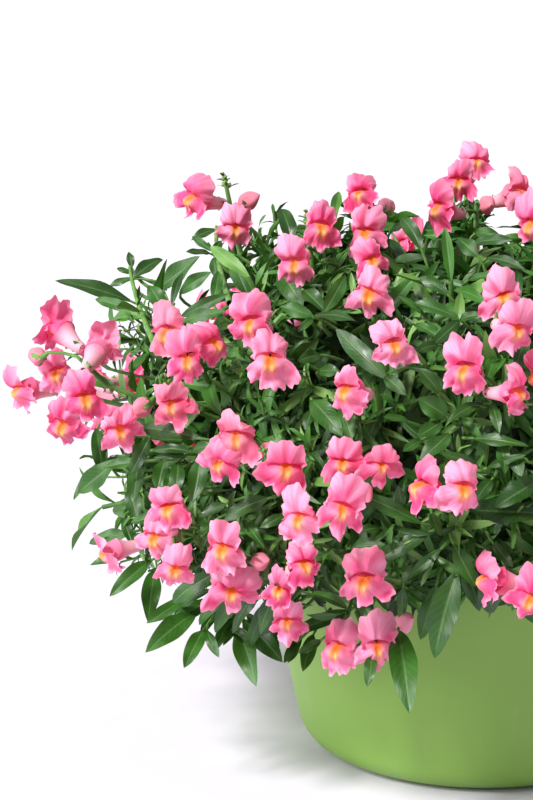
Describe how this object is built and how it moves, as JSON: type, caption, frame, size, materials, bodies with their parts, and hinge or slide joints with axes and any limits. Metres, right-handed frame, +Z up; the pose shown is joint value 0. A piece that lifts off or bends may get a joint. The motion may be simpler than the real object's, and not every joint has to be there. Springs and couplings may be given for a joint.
{
  "type": "potted snapdragon plant",
  "caption": "Wide low mound of flowering snapdragon with narrow leaves and short spikes of two-lipped blooms, growing out over the rim of a round tapered pot.",
  "frame": {"origin": "middle of the pot's flat foot", "axes": "+Z up along the pot's axis, -Y towards the display side of the plant, +X to the right of it"},
  "size_m": [0.5476, 0.5142, 0.3573],
  "materials": {
    "pot": "smooth matt apple green",
    "soil": "dark crumbly compost",
    "foliage": "living dark green leaves with a soft sheen",
    "blooms": "soft pink petals with a yellow-orange palate"
  },
  "bodies": {
    "root": {"pot": "pot", "soil": "soil", "plant_1": "foliage", "plant_2": "foliage", "plant_3": "foliage", "plant_4": "foliage", "plant_5": "foliage", "plant_6": "foliage", "plant_7": "foliage", "plant_8": "foliage", "raceme_01": "blooms", "raceme_02": "blooms", "raceme_03": "blooms", "raceme_04": "blooms", "raceme_05": "blooms", "raceme_06": "blooms", "raceme_07": "blooms", "raceme_08": "blooms", "raceme_09": "blooms", "raceme_10": "blooms", "raceme_11": "blooms", "raceme_12": "blooms", "raceme_13": "blooms", "raceme_14": "blooms", "raceme_15": "blooms", "raceme_16": "blooms", "raceme_17": "blooms", "raceme_18": "blooms", "raceme_19": "blooms", "raceme_20": "blooms", "raceme_21": "blooms", "raceme_22": "blooms", "raceme_23": "blooms", "raceme_24": "blooms", "raceme_25": "blooms", "raceme_26": "blooms", "raceme_27": "blooms", "raceme_28": "blooms", "raceme_29": "blooms", "raceme_30": "blooms", "raceme_31": "blooms", "raceme_32": "blooms", "raceme_33": "blooms", "raceme_34": "blooms", "raceme_35": "blooms", "raceme_36": "blooms", "raceme_37": "blooms", "raceme_38": "blooms", "raceme_39": "blooms", "raceme_40": "blooms", "raceme_41": "blooms", "raceme_42": "blooms", "raceme_43": "blooms", "raceme_44": "blooms", "raceme_45": "blooms", "raceme_46": "blooms", "raceme_47": "blooms", "raceme_48": "blooms", "raceme_49": "blooms", "raceme_50": "blooms"}
  },
  "joints": []
}
